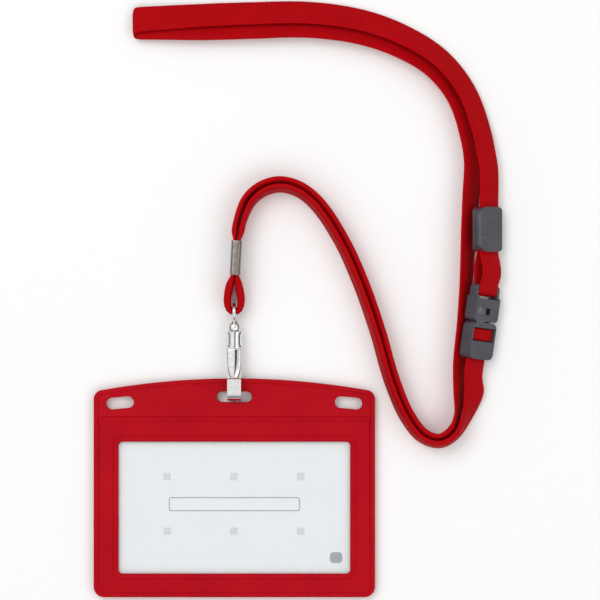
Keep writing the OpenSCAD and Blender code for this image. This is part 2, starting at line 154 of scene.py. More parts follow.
class Shader:
    # a small wrapper, so that each finish below reads as a recipe

    def __init__(self, name):
        self.material = bpy.data.materials.new(name)
        self.material.use_nodes = True
        self.tree = self.material.node_tree
        self.main = self.tree.nodes["Principled BSDF"]

    def set(self, **values):
        for key, value in values.items():
            self.main.inputs[key.replace("_", " ")].default_value = value
        return self

    def node(self, kind, inputs=None, **settings):
        made = self.tree.nodes.new(kind)
        for key, value in settings.items():
            setattr(made, key, value)
        for key, value in (inputs or {}).items():
            if isinstance(value, bpy.types.NodeSocket):
                self.tree.links.new(value, made.inputs[key])
            else:
                made.inputs[key].default_value = value
        return made

    def link(self, output, name):
        self.tree.links.new(output, self.main.inputs[name])

    def maths(self, operation, a, b=0.0):
        return self.node("ShaderNodeMath", {0: a, 1: b}, operation=operation).outputs[0]

    def ramp(self, factor, low, high, lowAt=0.0, highAt=1.0):
        made = self.node("ShaderNodeValToRGB", {"Fac": factor})
        stops = made.color_ramp.elements
        stops[0].position, stops[0].color = lowAt, low
        stops[1].position, stops[1].color = highAt, high
        return made.outputs["Color"]

    def grain(self, scale, detail=4.0, vector=None):
        inputs = {"Scale": scale, "Detail": detail, "Roughness": 0.6}
        inputs["Vector"] = vector or self.place()
        return self.node("ShaderNodeTexNoise", inputs).outputs["Fac"]

    def place(self):
        return self.node("ShaderNodeTexCoord").outputs["Object"]

    def bump(self, height, distance, strength, under=None):
        inputs = {"Height": height, "Distance": distance, "Strength": strength}
        if under:
            inputs["Normal"] = under
        return self.node("ShaderNodeBump", inputs).outputs["Normal"]


ribbonLook = {
    "width": 10.0,
    "thick": 1.4,
    "looseThick": 2.2,  # where nothing presses on the weave
    "step": 1.5,
    "sides": 32,  # points round the section
    "edgeRound": (0.45, 0.6),
    "selvedge": (0.84, 0.05, 0.22),  # place, width and depth of the line beside each edge
    "sway": (0.012, 0.12),  # how much the width wanders, and how quickly
    "pucker": (0.05, 0.35, 1.6),
    # painted light and painted shade: lit and shaded copies of the ribbon's one red
    "lit": (0.47, 0.002, 0.005, 1),
    "shade": (0.34, 0.001, 0.003, 1),
    "pickPitch": 0.62,  # mm between weft ribs
    "endPitch": 0.5,  # mm between warp threads
}


def makeRibbonWeave():
    s = Shader("ribbonWeave")
    uv = s.node("ShaderNodeUVMap", uv_map="weave").outputs["UV"]
    parts = s.node("ShaderNodeSeparateXYZ", {0: uv})
    across, along = parts.outputs[0], parts.outputs[1]
    # picks zigzag from one end to the next, like a plain weave seen close
    ends = s.maths("SINE", s.maths("MULTIPLY", across, math.tau / ribbonLook["endPitch"]))
    shifted = s.maths("ADD", s.maths("MULTIPLY", along, math.tau / ribbonLook["pickPitch"]),
                      s.maths("MULTIPLY", ends, 1.2))
    picks = s.maths("SINE", shifted)
    weave = s.maths("ADD", s.maths("MULTIPLY", picks, 0.3), s.maths("MULTIPLY", ends, 0.2))
    height = s.maths("ADD", weave, 0.5)
    fuzz = s.grain(2600.0, 2.0)
    broad = s.grain(90.0, 3.0)
    mixed = s.maths("ADD", s.maths("MULTIPLY", height, 0.5), s.maths("MULTIPLY", broad, 0.5))
    # painted shade: the weave's low threads take the shaded red and its raised threads the lit
    # red, while random broad patches vary the tone
    s.link(s.ramp(mixed, ribbonLook["shade"], ribbonLook["lit"], 0.2, 0.62), "Base Color")
    s.link(s.ramp(fuzz, (0.5, 0.5, 0.5, 1), (0.72, 0.72, 0.72, 1)), "Roughness")
    fine = s.bump(fuzz, 0.00004, 0.5)
    s.link(s.bump(height, 0.00012, 0.6, fine), "Normal")
    s.set(Sheen_Weight=0.06, Sheen_Roughness=0.35, Sheen_Tint=(0.9, 0.05, 0.04, 1))
    s.set(Specular_IOR_Level=0.04)
    return s.material


vinylLook = {
    "deep": (0.42, 0.002, 0.008, 1),
    "bright": (0.47, 0.003, 0.01, 1),
    "pebbles": 900.0,  # cells in a metre
    "pores": 2400.0,
    "patches": 55.0,
    "gloss": 0.06,
}


def makeVinyl():
    look = vinylLook
    s = Shader("grainedVinyl")
    cells = s.node("ShaderNodeTexVoronoi", {"Vector": s.place(), "Scale": look["pebbles"]},
                   feature="DISTANCE_TO_EDGE").outputs["Distance"]
    pebble = s.ramp(cells, (0, 0, 0, 1), (1, 1, 1, 1), 0.0, 0.35)
    pores = s.grain(look["pores"], 3.0)
    broad = s.grain(look["patches"], 3.0)
    s.link(s.ramp(broad, look["deep"], look["bright"], 0.35, 0.65), "Base Color")
    s.link(s.ramp(pores, (0.42, 0.42, 0.42, 1), (0.6, 0.6, 0.6, 1)), "Roughness")
    fine = s.bump(pores, 0.00005, 0.4)
    s.link(s.bump(pebble, 0.00012, 0.55, fine), "Normal")
    s.set(Specular_IOR_Level=look["gloss"])
    return s.material


filmLook = {
    "tint": (0.9, 0.94, 0.97, 1),
    "cover": 0.12,
    "rough": 0.12,
    "ripples": 35.0,
}


def makeFilm():
    s = Shader("clearFilm")
    ripple = s.grain(filmLook["ripples"], 2.0)
    s.set(Base_Color=filmLook["tint"], Alpha=filmLook["cover"], Roughness=filmLook["rough"])
    s.link(s.bump(ripple, 0.0003, 0.3), "Normal")
    return s.material


paperLook = {
    "shade": (0.8, 0.815, 0.825, 1),
    "light": (0.87, 0.885, 0.895, 1),
    "rough": 0.6,
    "fibres": 1500.0,
}


def makePaper():
    s = Shader("printedCard")
    fibres = s.grain(paperLook["fibres"], 5.0)
    s.link(s.ramp(fibres, paperLook["shade"], paperLook["light"], 0.3, 0.7), "Base Color")
    s.set(Roughness=paperLook["rough"])
    s.link(s.bump(fibres, 0.00002, 0.3), "Normal")
    return s.material


def makeInk(name, light, dark):
    s = Shader(name)
    s.link(s.ramp(s.grain(1800.0), dark, light, 0.3, 0.7), "Base Color")
    s.set(Roughness=0.55)
    return s.material


def makeMetal(name, low, high, rough, stretch):
    # stretch draws the fine scratches out along one direction
    s = Shader(name)
    place = s.node("ShaderNodeMapping", {"Vector": s.place(), "Scale": stretch}).outputs[0]
    scratches = s.grain(900.0, 4.0, vector=place)
    s.link(s.ramp(scratches, low, high, 0.3, 0.7), "Base Color")
    s.link(s.ramp(scratches, (rough, rough, rough, 1), (rough * 2.2,) * 3 + (1,)), "Roughness")
    s.link(s.bump(scratches, 0.00001, 0.35), "Normal")
    s.set(Metallic=1.0)
    return s.material


plasticLook = {
    "dark": (0.058, 0.058, 0.071, 1),
    "light": (0.076, 0.076, 0.092, 1),
    "texture": 2200.0,
    "patches": 120.0,
}


def makePlastic():
    look = plasticLook
    s = Shader("greyPlastic")
    texture = s.grain(look["texture"], 3.0)
    broad = s.grain(look["patches"], 2.0)
    s.link(s.ramp(broad, look["dark"], look["light"], 0.3, 0.7), "Base Color")
    s.link(s.ramp(texture, (0.36, 0.36, 0.36, 1), (0.5, 0.5, 0.5, 1)), "Roughness")
    s.link(s.bump(texture, 0.00003, 0.4), "Normal")
    return s.material


finishes = {
    "ribbon": makeRibbonWeave(),
    "vinyl": makeVinyl(),
    "film": makeFilm(),
    "card": makePaper(),
    "paleInk": makeInk("paleGreyInk", (0.66, 0.68, 0.69, 1), (0.6, 0.62, 0.63, 1)),
    "darkInk": makeInk("darkGreyInk", (0.3, 0.31, 0.32, 1), (0.22, 0.23, 0.24, 1)),
    "nickel": makeMetal("brightNickel", (0.68, 0.68, 0.68, 1), (0.84, 0.84, 0.83, 1), 0.07,
                        (1, 1, 1)),
    "sleeve": makeMetal("brushedSleeve", (0.21, 0.185, 0.165, 1), (0.33, 0.295, 0.265, 1), 0.2,
                        (4, 0.5, 4)),
    "spring": makeMetal("springSteel", (0.3, 0.3, 0.31, 1), (0.45, 0.45, 0.46, 1), 0.2,
                        (1, 1, 1)),
    "plastic": makePlastic(),
}
print("finishes ready")


def addPiece(name, mesh, finish, body, replaces=()):
    piece = bpy.data.objects.new(name, mesh)
    scene.collection.objects.link(piece)
    mesh.materials.append(finishes[finish])
    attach(piece, body)
    if replaces:
        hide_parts(*replaces)
    return piece


def meshFrom(name, verts, faces):
    mesh = bpy.data.meshes.new(name)
    mesh.from_pydata([tuple(v) for v in verts], [], faces)
    mesh.update()
    mesh.shade_smooth()
    return mesh


def faceOutwards(mesh):
    tidy = bmesh.new()
    tidy.from_mesh(mesh)
    bmesh.ops.recalc_face_normals(tidy, faces=tidy.faces)
    tidy.to_mesh(mesh)
    tidy.free()
    mesh.shade_smooth()
    return mesh


def ringFaces(rings, size, closed=True):
    # quads between one ring of points and the next
    faces = []
    count = size if closed else size - 1
    for i in range(rings - 1):
        for j in range(count):
            k = (j + 1) % size
            faces.append((i * size + j, i * size + k, (i + 1) * size + k, (i + 1) * size + j))
    return faces


def catmull(points, i, t):
    # centripetal Catmull-Rom between points i and i + 1
    last = len(points) - 1
    p1, p2 = points[i], points[i + 1]
    p0 = points[i - 1] if i > 0 else p1 * 2 - p2
    p3 = points[i + 2] if i + 2 <= last else p2 * 2 - p1
    knots = [0.0]
    for a, b in ((p0, p1), (p1, p2), (p2, p3)):
        knots.append(knots[-1] + max((b - a).length, 1e-6) ** 0.5)
    t0, t1, t2, t3 = knots
    u = t1 + (t2 - t1) * t
    a1 = p0 * ((t1 - u) / (t1 - t0)) + p1 * ((u - t0) / (t1 - t0))
    a2 = p1 * ((t2 - u) / (t2 - t1)) + p2 * ((u - t1) / (t2 - t1))
    a3 = p2 * ((t3 - u) / (t3 - t2)) + p3 * ((u - t2) / (t3 - t2))
    b1 = a1 * ((t2 - u) / (t2 - t0)) + a2 * ((u - t0) / (t2 - t0))
    b2 = a2 * ((t3 - u) / (t3 - t1)) + a3 * ((u - t1) / (t3 - t1))
    return b1 * ((t2 - u) / (t2 - t1)) + b2 * ((u - t1) / (t2 - t1))


# the ribbon's route in mm, the same as in the CAD: x, y, gap between the strands,
# lean of the width, height of the low edges, extra height of the right-hand strand
pairLow = [
    (1.3, 96.8, 2.4, 90, 0.3, 0),
    (2.4, 102, 2.7, 88, 0.1, 0),
    (5.6, 109.2, 2.9, 83, 0.1, 0),
    (10.8, 113.6, 2.8, 80, 0.1, 0),
    (17.6, 115.3, 2.7, 79, 0.1, 0),
    (25, 113.2, 2.6, 79, 0.1, 0),
    (32, 107.3, 2.6, 79, 0.1, 0),
    (40.6, 94.2, 2.6, 79, 0.1, 0),
    (47.6, 79, 2.6, 78, 0.1, 0),
    (54.3, 60, 2.6, 78, 0.1, 0),
    (59.8, 41, 2.6, 78, 0.1, 0),
    (65.6, 27.4, 2.6, 79, 0.1, 0),
    (71.6, 19.9, 2.6, 80, 0.1, 0),
    (78, 17.9, 2.6, 80, 0.1, 0),
    (83.4, 21.2, 3, 79, 0.1, 0),
]
rightAlone = [
    (88.9, 28.6, 0, 62, 0.3, 0),
    (91, 37, 0, 40, 1.3, 0),
]
leftAlone = [
    (84.9, 28.6, 0, 76, 0.1, 0),
    (85.4, 37, 0, 64, 0.1, 0),
    (85.8, 48, 0, 58, 0.1, 0),
    (87.2, 64, 0, 60, 0.1, 0),
    (88.1, 80, 0, 61, 0.1, 0),
    (89, 98, 0, 55, 0.1, 0),
    (90, 112, 0, 49, 0.1, 0),
]
pairHigh = [
    (93.3, 125, 5.2, 44, 0.1, 3),
    (91.2, 136, 4.8, 44, 0.1, 1.8),
    (86, 150, 4.6, 44, 0.1, 0.8),
    (76.6, 161.6, 4.8, 42, 0.1, 0.3),
    (63, 169.9, 5, 38, 0.1, 0),
    (47.8, 175.2, 5.2, 34, 0.1, 0),
    (28, 177.9, 5.3, 31, 0.1, 0),
    (6, 177.6, 5.4, 29, 0.1, 0),
    (-14, 177, 4.9, 26, 0.1, 0.4),
    (-27, 176.8, 3.6, 20, 0.1, 1),
    (-37, 176.6, 2.4, 14, 0.1, 1.5),
]
# side, y, z, half width and half thickness of the loop round the eye,
# plumper towards the sleeve than the solid
loopSide = [
    (1.5, 77.6, 5.3, 4.6, 1.45),
    (2.3, 74, 5, 4, 1.5),
    (2.6, 70.6, 4.8, 3.2, 1.4),
    (1.9, 67.9, 4.7, 2, 1.25),
]
loopLow = (0, 66.8, 4.6, 1.6, 1.2)
# where the adjuster and the clasp sit, and how the ribbon runs through them
fittings = {
    "lean": math.radians(45),
    "adjusterAt": Vector((96, 98.2, 6.7)),
    "claspAt": Vector((93.5, 63.2, 6.6)),
    "claspTurn": math.radians(8),
    "layerZ": 0.8,  # from the middle to each of the adjuster's two layers
    "enterY": 23,
    "leaveY": -9,
    "tailY": 8,  # end of the layer underneath
    "bow": [(-12.4, 1.7), (-15.6, 2.3), (-18.2, 2.1)],  # y and z of the bulge below the adjuster
    "barY": 11.9,  # the clasp's bar, and the turn round it
    "barR": 1.6,
    "barFromY": 14.8,
    "barTurns": (0, 60, 120, 180),
    "plugY": (-20.6, -13.4),
}
# the crimped sleeve's place, and the ribbon inside it
crimp = {
    "at": Vector((0.65, 87.4, 5.5)),
    "turn": math.radians(3),
    "length": 13,
    "layerX": 0.75,  # from the middle to each strand
    "strandY": (-4.95, 7.1),
    "loopY": -5.05,
}
halfW = ribbonLook["width"] / 2
halfT = ribbonLook["thick"] / 2
looseHalfT = ribbonLook["looseThick"] / 2


def fittingMatrix(at, turn):
    return Matrix.Translation(at) @ Matrix.Rotation(-turn, 4, "Z") @ Matrix.Rotation(
        fittings["lean"], 4, "Y")


# a ring is (centre, direction of the width, half width, half thickness)
def pairRing(route, i, hand, thick):
    x, y, gap, lean, low, extra = route[i]
    a, b = route[max(i - 1, 0)], route[min(i + 1, len(route) - 1)]
    heading = Vector((b[0] - a[0], b[1] - a[1], 0)).normalized()
    side = Vector((heading.y, -heading.x, 0))
    c, s = math.cos(math.radians(lean)), math.sin(math.radians(lean))
    z = halfW * s + thick * abs(c) + low + (extra if hand > 0 else 0)
    return Vector((x, y, z)) + side * (hand * gap / 2), side * c - Vector((0, 0, s)), halfW, thick


def strand(route, hand, thick):
    return [pairRing(route, i, hand, thick) for i in range(len(route))]


def fittingRing(place, y, z):
    return place @ Vector((0, y, z)), place.to_3x3() @ Vector((1, 0, 0)), halfW, halfT


def crimpRing(x, y):
    turned = Matrix.Rotation(-crimp["turn"], 3, "Z") @ Vector((x, y, 0))
    return crimp["at"] + turned, Vector((0, 0, -1)), halfW, halfT


def loopRing(row, hand):
    return Vector((row[0] * hand, row[1], row[2])), Vector((0, 0, -1)), row[3], row[4]


def foldRings(a, b):
    # half circle from one strand over to the other, at the far end
    mid, arm = (a[0] + b[0]) / 2, (a[0] - b[0]) / 2
    out = a[1].cross(arm).normalized() * (arm - a[1] * arm.dot(a[1])).length
    turns = (math.radians(t) for t in (45, 90, 135))
    return [(mid + arm * math.cos(t) + out * math.sin(t), a[1], halfW, halfT) for t in turns]


def aroundBar(place):
    # over the clasp's bar and back underneath
    y, r, fromY = fittings["barY"], fittings["barR"], fittings["barFromY"]
    turns = (math.radians(t) for t in fittings["barTurns"])
    rings = [fittingRing(place, y - r * math.sin(t), r * math.cos(t)) for t in turns]
    return [fittingRing(place, fromY, r)] + rings + [fittingRing(place, fromY, -r)]


def longRoute():
    # up one side to the neck fold, down the other, round the clasp's bar and back
    f = fittings
    left, right = (strand(pairHigh, hand, halfT) for hand in (-1, 1))
    adjuster = fittingMatrix(f["adjusterAt"], 0)
    z = f["layerZ"]
    rings = [crimpRing(-crimp["layerX"], y) for y in crimp["strandY"]]
    rings += strand(pairLow, -1, looseHalfT) + strand(leftAlone, 0, halfT)
    rings += left + foldRings(left[-1], right[-1]) + right[::-1]
    rings += [fittingRing(adjuster, y, z) for y in (f["enterY"], f["leaveY"])]
    rings += [fittingRing(adjuster, y, rise) for y, rise in f["bow"]]
    rings += aroundBar(fittingMatrix(f["claspAt"], f["claspTurn"]))
    rings += [fittingRing(adjuster, y, -rise) for y, rise in f["bow"][::-1]]
    return rings + [fittingRing(adjuster, y, -z) for y in (f["leaveY"], f["tailY"])]


def shortRoute():
    # from the sleeve to the clasp's plug
    clasp = fittingMatrix(fittings["claspAt"], fittings["claspTurn"])
    rings = [crimpRing(crimp["layerX"], y) for y in crimp["strandY"]]
    rings += strand(pairLow, 1, looseHalfT) + strand(rightAlone, 0, halfT)
    return rings + [fittingRing(clasp, y, 0) for y in fittings["plugY"]]


def loopRoute():
    # out of the sleeve, round the eye and back in
    x, ends = crimp["layerX"], (crimp["loopY"], -crimp["length"] / 2)
    rings = [crimpRing(-x, y) for y in ends]
    rings += [loopRing(row, -1) for row in loopSide] + [loopRing(loopLow, 1)]
    rings += [loopRing(row, 1) for row in loopSide[::-1]]
    return rings + [crimpRing(x, y) for y in ends[::-1]]


def swell(value, power):
    # a sine or cosine pushed out towards a rounded box
    return math.copysign(abs(value) ** power, value)


def ribbonSection():
    # one turn round a flattened tube: fraction of half width, of half thickness
    points = []
    widePower, thickPower = ribbonLook["edgeRound"]
    at, wide, deep = ribbonLook["selvedge"]
    for k in range(ribbonLook["sides"]):
        t = math.tau * k / ribbonLook["sides"]
        x = swell(math.cos(t), widePower)
        y = swell(math.sin(t), thickPower)
        points.append((x, y * (1 - deep * math.exp(-((abs(x) - at) / wide) ** 2))))
    return points


def glide(values, spots, i, t):
    # smooth value between rings i and i + 1, which lie at spots along the route
    last = len(values) - 1
    span = spots[i + 1] - spots[i]

    def slope(k):
        a, b = max(k - 1, 0), min(k + 1, last)
        return (values[b] - values[a]) * (span / (spots[b] - spots[a]))

    t2, t3 = t * t, t * t * t
    return (values[i] * (2 * t3 - 3 * t2 + 1) + values[i + 1] * (3 * t2 - 2 * t3)
            + slope(i) * (t3 - 2 * t2 + t) + slope(i + 1) * (t3 - t2))


def smoothRings(rings):
    # resample the route finely enough to look like cloth
    centres, wides, halves, thicks = zip(*rings)
    spots = [0.0]
    for a, b in zip(centres, centres[1:]):
        spots.append(spots[-1] + (b - a).length)
    fine = []
    for i in range(len(rings) - 1):
        steps = max(2, math.ceil((spots[i + 1] - spots[i]) / ribbonLook["step"]))
        for k in range(steps):
            t = k / steps
            wide, half, thick = (glide(row, spots, i, t) for row in (wides, halves, thicks))
            fine.append((catmull(centres, i, t), wide.normalized(), half, thick))
    fine.append(rings[-1])
    return fine


def makeRibbon(name, rings, nodes, body, seed):
    section = ribbonSection()
    size = len(section)
    fine = smoothRings(rings)
    swayDeep, swayPace = ribbonLook["sway"]
    puckerDeep, puckerPace, puckerAcross = ribbonLook["pucker"]
    verts, marks = [], []
    along = 0.0
    for i, (centre, wide, half, thick) in enumerate(fine):
        before, after = fine[max(i - 1, 0)][0], fine[min(i + 1, len(fine) - 1)][0]
        tangent = (after - before).normalized()
        face = tangent.cross(wide).normalized()
        if i:
            along += (centre - fine[i - 1][0]).length
        sway = 1 + swayDeep * noise.noise(Vector((along * swayPace, seed, 0)))
        for x, y in section:
            spot = Vector((along * puckerPace, x * puckerAcross, seed + y))
            pucker = puckerDeep * noise.noise(spot)
            point = centre + wide * (x * half * sway) + face * (y * (thick + pucker))
            verts.append(point * mm)
        marks.append(along)
    faces = ringFaces(len(fine), size)
    faces.append(tuple(range(size - 1, -1, -1)))
    faces.append(tuple(range((len(fine) - 1) * size, len(fine) * size)))
    mesh = meshFrom(name, verts, faces)
    uv = mesh.uv_layers.new(name="weave")
    for polygon in mesh.polygons:
        for loop in polygon.loop_indices:
            ring, j = divmod(mesh.loops[loop].vertex_index, size)
            uv.data[loop].uv = (section[j][0] * halfW, marks[ring])
    piece = addPiece(name, mesh, "ribbon", body, nodes)
    return piece, [ring[0] * mm for ring in fine], along * mm


# solid that each ribbon stands for, its route, its width in mm, and the seed of its puckers
ribbons = {
    "strapLong": ("strap_long", longRoute, ribbonLook["width"], 1.0),
    "strapShort": ("strap_short", shortRoute, ribbonLook["width"], 2.0),
    "crimpLoop": ("crimp_loop", loopRoute, 5.5, 3.0),
}
for name, (solid, route, width, seed) in ribbons.items():
    piece, path, length = makeRibbon(name, route(), [solid], "lanyard", seed)
    print(name, "ready, length in m:", round(length, 3))


# flat shapes are loops of points, in mm
hairline = 0.001  # keeps the two ends of a round slot from meeting in one point


def arcPoints(centre, radius, startDeg, endDeg, count):
    turns = [math.radians(startDeg + (endDeg - startDeg) * k / count) for k in range(count + 1)]
    return [Vector((centre[0] + radius * math.cos(t), centre[1] + radius * math.sin(t)))
            for t in turns]


def roundedLoop(centre, width, height, radius, tilt=0.0, count=10):
    points = []
    for quarter, (sx, sy) in enumerate(((1, 1), (-1, 1), (-1, -1), (1, -1))):
        corner = (sx * (width / 2 - radius), sy * (height / 2 - radius))
        points += arcPoints(corner, radius, 90 * quarter, 90 * quarter + 90, count)
    spin = Matrix.Rotation(math.radians(tilt), 2)
    return [spin @ p + Vector(centre) for p in points]


class PlateBuilder:
    # gathers loops of points into strips and flat fills

    def __init__(self):
        self.verts, self.faces = [], []

    def loop(self, points, z):
        first = len(self.verts)
        self.verts += [Vector((p[0], p[1], z)) * mm for p in points]
        return list(range(first, len(self.verts)))

    def strip(self, a, b):
        for i in range(len(a)):
            j = (i + 1) % len(a)
            self.faces.append((a[i], a[j], b[j], b[i]))

    def edge(self, shape, steps):
        # shape(grow) gives a loop; steps are (grow, z) from the first loop to the last
        loops = [self.loop(shape(grow), z) for grow, z in steps]
        for a, b in zip(loops, loops[1:]):
            self.strip(a, b)
        return loops[0], loops[-1]

    def fill(self, outer, holes, up=True):
        lists = [[self.verts[i] for i in ids] for ids in [outer] + holes]
        ids = [i for group in [outer] + holes for i in group]
        for tri in tessellate_polygon(lists):
            a, b, c = (ids[k] for k in tri)
            normal = (self.verts[b] - self.verts[a]).cross(self.verts[c] - self.verts[a])
            self.faces.append((a, b, c) if (normal.z > 0) == up else (a, c, b))

    def finish(self, name):
        return faceOutwards(meshFrom(name, self.verts, self.faces))


creaseAngle = math.radians(40)


def evenNormals(piece):
    piece.modifiers.new("evenNormals", "WEIGHTED_NORMAL").weight = 100


# the holder's front
panelLow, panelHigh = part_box("front_panel")
holderFront = {
    "halfW": panelHigh.x / mm,
    "topY": panelHigh.y / mm,
    "bottomY": panelLow.y / mm,
    "archR": 290,
    "topCorner": 3.5,
    "bottomCorner": 4,
    "skinLow": 2.4,
    "skinTop": 3.4,
    "rimLow": panelLow.z / mm,
    "rimInset": 0.05,
    "rimTopY": 24.1,
    "pocketX": 46.3,
    "pocketY": -35.6,
    "window": ((0, -7.55), 88, 50.1, 1.5),
    "headerLineY": 26.2,
    "headerLineHalf": 51.7,
    "hookSlot": ((0, 34.6), 13.3, 4),
    "cornerSlot": ((43.4, 32.3), 10.4, 4.4),
    "slotTilt": 5,
    # edge profiles: how far out, and height over the skin's top
    "border": ((0, -0.5), (-0.05, -0.3), (-0.2, -0.12), (-0.45, -0.02), (-0.8, 0), (-1.35, 0),
               (-1.48, -0.05), (-1.6, -0.2), (-1.75, -0.26), (-1.9, -0.2), (-2.02, -0.05),
               (-2.15, 0)),
    "windowEdge": ((2.5, 0), (2.38, -0.05), (2.25, -0.2), (2.1, -0.26), (1.95, -0.2),
                   (1.82, -0.05), (1.7, 0), (0.6, 0), (0.25, -0.04), (0.07, -0.15), (0, -0.35)),
    "slotEdge": ((0.55, 0), (0.28, -0.03), (0.1, -0.11), (0.02, -0.25), (0, -0.45)),
    "headerLine": ((2, 0), (1.75, 0.05), (1.4, 0.15), (1.1, 0.13), (0.85, -0.05), (0.65, -0.3),
                   (0.3, -0.4)),
}


def holderLoop(grow):
    h = holderFront
    top, bottom = h["topCorner"], h["bottomCorner"]
    archY = h["topY"] - h["archR"]
    topX, baseX = h["halfW"] - top, h["halfW"] - bottom
    cornerY = archY + math.sqrt((h["archR"] - top) ** 2 - topX ** 2)
    baseY = h["bottomY"] + bottom
    edge = math.degrees(math.atan2(cornerY - archY, topX))
    points = arcPoints((-baseX, baseY), bottom + grow, 180, 270, 10)
    points += arcPoints((baseX, baseY), bottom + grow, 270, 360, 10)
    points += arcPoints((topX, cornerY), top + grow, 0, edge, 10)
    points += arcPoints((0, archY), h["archR"] + grow, edge, 180 - edge, 60)[1:-1]
    return points + arcPoints((-topX, cornerY), top + grow, 180 - edge, 180, 10)


def makeFrontSkin():
    h = holderFront
    made = PlateBuilder()

    def profile(name):
        return [(out, h["skinTop"] + rise) for out, rise in h[name]]

    def roundedHole(centre, width, height, radius, tilt=0.0):
        return lambda g: roundedLoop(centre, width + 2 * g, height + 2 * g, radius + g, tilt)

    base = [(0, h["skinLow"])]
    outerLow, outerTop = made.edge(holderLoop, base + profile("border"))
    holes = [made.edge(roundedHole(*h["window"]), profile("windowEdge") + base)]
    slots = [h["hookSlot"] + (0,)]
    for side in (-1, 1):
        (x, y), length, wide = h["cornerSlot"]
        slots.append(((side * x, y), length, wide, -side * h["slotTilt"]))
    for place, length, wide, tilt in slots:
        shape = roundedHole(place, length, wide, wide / 2 - hairline, tilt)
        holes.append(made.edge(shape, profile("slotEdge") + base))
    # a pressed line under the header, with a soft lip on each side
    line = roundedHole((0, h["headerLineY"]), 2 * (h["headerLineHalf"] - 2), 0, -hairline)
    lineTop, lineFloor = made.edge(line, profile("headerLine"))
    made.fill(lineFloor, [])
    made.fill(outerTop, [lineTop] + [top for top, foot in holes])
    made.fill(outerLow, [foot for top, foot in holes], up=False)
    skin = addPiece("frontSkin", made.finish("frontSkin"), "vinyl", "holder",
                    ["front_panel"])
    evenNormals(skin)


def makeRimCore():
    h = holderFront
    outer = [p for p in holderLoop(-h["rimInset"]) if p.y < 0]
    sideX = h["halfW"] - h["rimInset"]
    points = [Vector((-sideX, h["rimTopY"]))] + outer + [Vector((sideX, h["rimTopY"]))]
    points += [Vector((h["pocketX"], h["rimTopY"])), Vector((h["pocketX"], h["pocketY"])),
               Vector((-h["pocketX"], h["pocketY"])), Vector((-h["pocketX"], h["rimTopY"]))]
    made = PlateBuilder()
    low = made.loop(points, h["rimLow"])
    high = made.loop(points, h["skinLow"])
    made.strip(low, high)
    made.fill(low, [], up=False)
    made.fill(high, [])
    rim = addPiece("rimCore", made.finish("rimCore"), "vinyl", "holder",
                   ["front_panel"])
    rim.data.set_sharp_from_angle(angle=creaseAngle)


makeFrontSkin()
makeRimCore()
print("holder front ready")


# the print on the card
cardPrint = {
    "square": 2.9,
    "columns": (-25.6, -0.2, 25.2),
    "rows": (4.2, -16.6),
    "field": ((0, -6.3), 50, 5.4, 1.2),
    "fieldLine": 0.4,
    "squareCorner": 0.15,
    "mark": ((38.7, -26.6), 4.8, 4.128, 1.4),
    "inkThick": 0.02,
}


def addPrint(name, shapes, inkName):
    # each shape is an outer loop and a list of holes
    made = PlateBuilder()
    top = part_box("card_insert")[1].z / mm
    for outer, holes in shapes:
        ink = [made.loop(points, top + cardPrint["inkThick"]) for points in [outer] + holes]
        base = [made.loop(points, top) for points in [outer] + holes]
        made.fill(ink[0], ink[1:])
        for a, b in zip(ink, base):
            made.strip(a, b)
        made.fill(base[0], base[1:], up=False)
    piece = addPiece(name, made.finish(name), inkName, "card")
    piece.data.set_sharp_from_angle(angle=creaseAngle)


def makeCardPrint():
    c = cardPrint
    side = c["square"]
    squares = [(roundedLoop((x, y), side, side, c["squareCorner"], count=3), [])
               for x in c["columns"] for y in c["rows"]]
    addPrint("cardSquares", squares, "paleInk")
    centre, width, height, radius = c["field"]
    inner = c["fieldLine"]
    hole = roundedLoop(centre, width - 2 * inner, height - 2 * inner, radius - inner)
    addPrint("nameField", [(roundedLoop(centre, width, height, radius), [hole])], "darkInk")
    addPrint("cornerMark", [(roundedLoop(*c["mark"]), [])], "darkInk")


makeCardPrint()
print("card ready")


# the gate, bent from one sheet
gateShape = {
    "topZ": 8.6,
    "sheet": 0.5,
    "shoulder": 0.95,
    "crown": 0.26,
    # y, half width, height of the skirt's edge
    "sections": ((42.0, 1.15, 7.9), (42.15, 1.5, 7.6), (42.6, 1.8, 7.3), (44.2, 2.35, 6.7),
                 (46.2, 2.68, 6.1), (47.6, 2.82, 5.4), (48.6, 2.85, 4.3), (49.3, 2.85, 3.6),
                 (50.1, 2.85, 3.32), (51.1, 2.85, 3.32), (51.9, 2.85, 3.7), (52.5, 2.85, 4.8),
                 (53.0, 2.85, 6.4)),
}


def gateSection(half, skirt):
    # across the gate from one skirt's edge up over the crowned top, right half first
    g = gateShape
    bend = min(g["shoulder"], half * 0.7)
    flat = half - bend
    edgeTop = g["topZ"] - g["crown"]
    bendLow = edgeTop - bend
    right = [(half, skirt + (bendLow - skirt) * k / 3) for k in range(4)]
    for k in range(1, 7):
        t = math.radians(90 * k / 6)
        right.append((flat + bend * math.cos(t), bendLow + bend * math.sin(t)))
    for k in range(1, 4):
        x = flat * (1 - k / 4)
        right.append((x, g["topZ"] - g["crown"] * (x / max(flat, 0.1)) ** 2))
    return right + [(0, g["topZ"])] + [(-x, z) for x, z in right[::-1]]


def makeGate():
    g = gateShape
    verts = []
    for y, half, skirt in g["sections"]:
        section = gateSection(half, skirt)
        verts += [Vector((x, y, z)) * mm for x, z in section]
    faces = ringFaces(len(g["sections"]), len(section), closed=False)
    mesh = meshFrom("gateLever", verts, faces)
    gate = addPiece("gateLever", mesh, "nickel", "gate", ["gate_lever"])
    nearTop = (g["topZ"] - g["crown"]) * mm
    if any(face.center.z > nearTop and face.normal.z < 0 for face in mesh.polygons):
        mesh.flip_normals()
    shell = gate.modifiers.new("sheet", "SOLIDIFY")
    shell.thickness = g["sheet"] * mm
    shell.offset = -1
    smooth = gate.modifiers.new("smoothSheet", "SUBSURF")
    smooth.levels = smooth.render_levels = 1


makeGate()


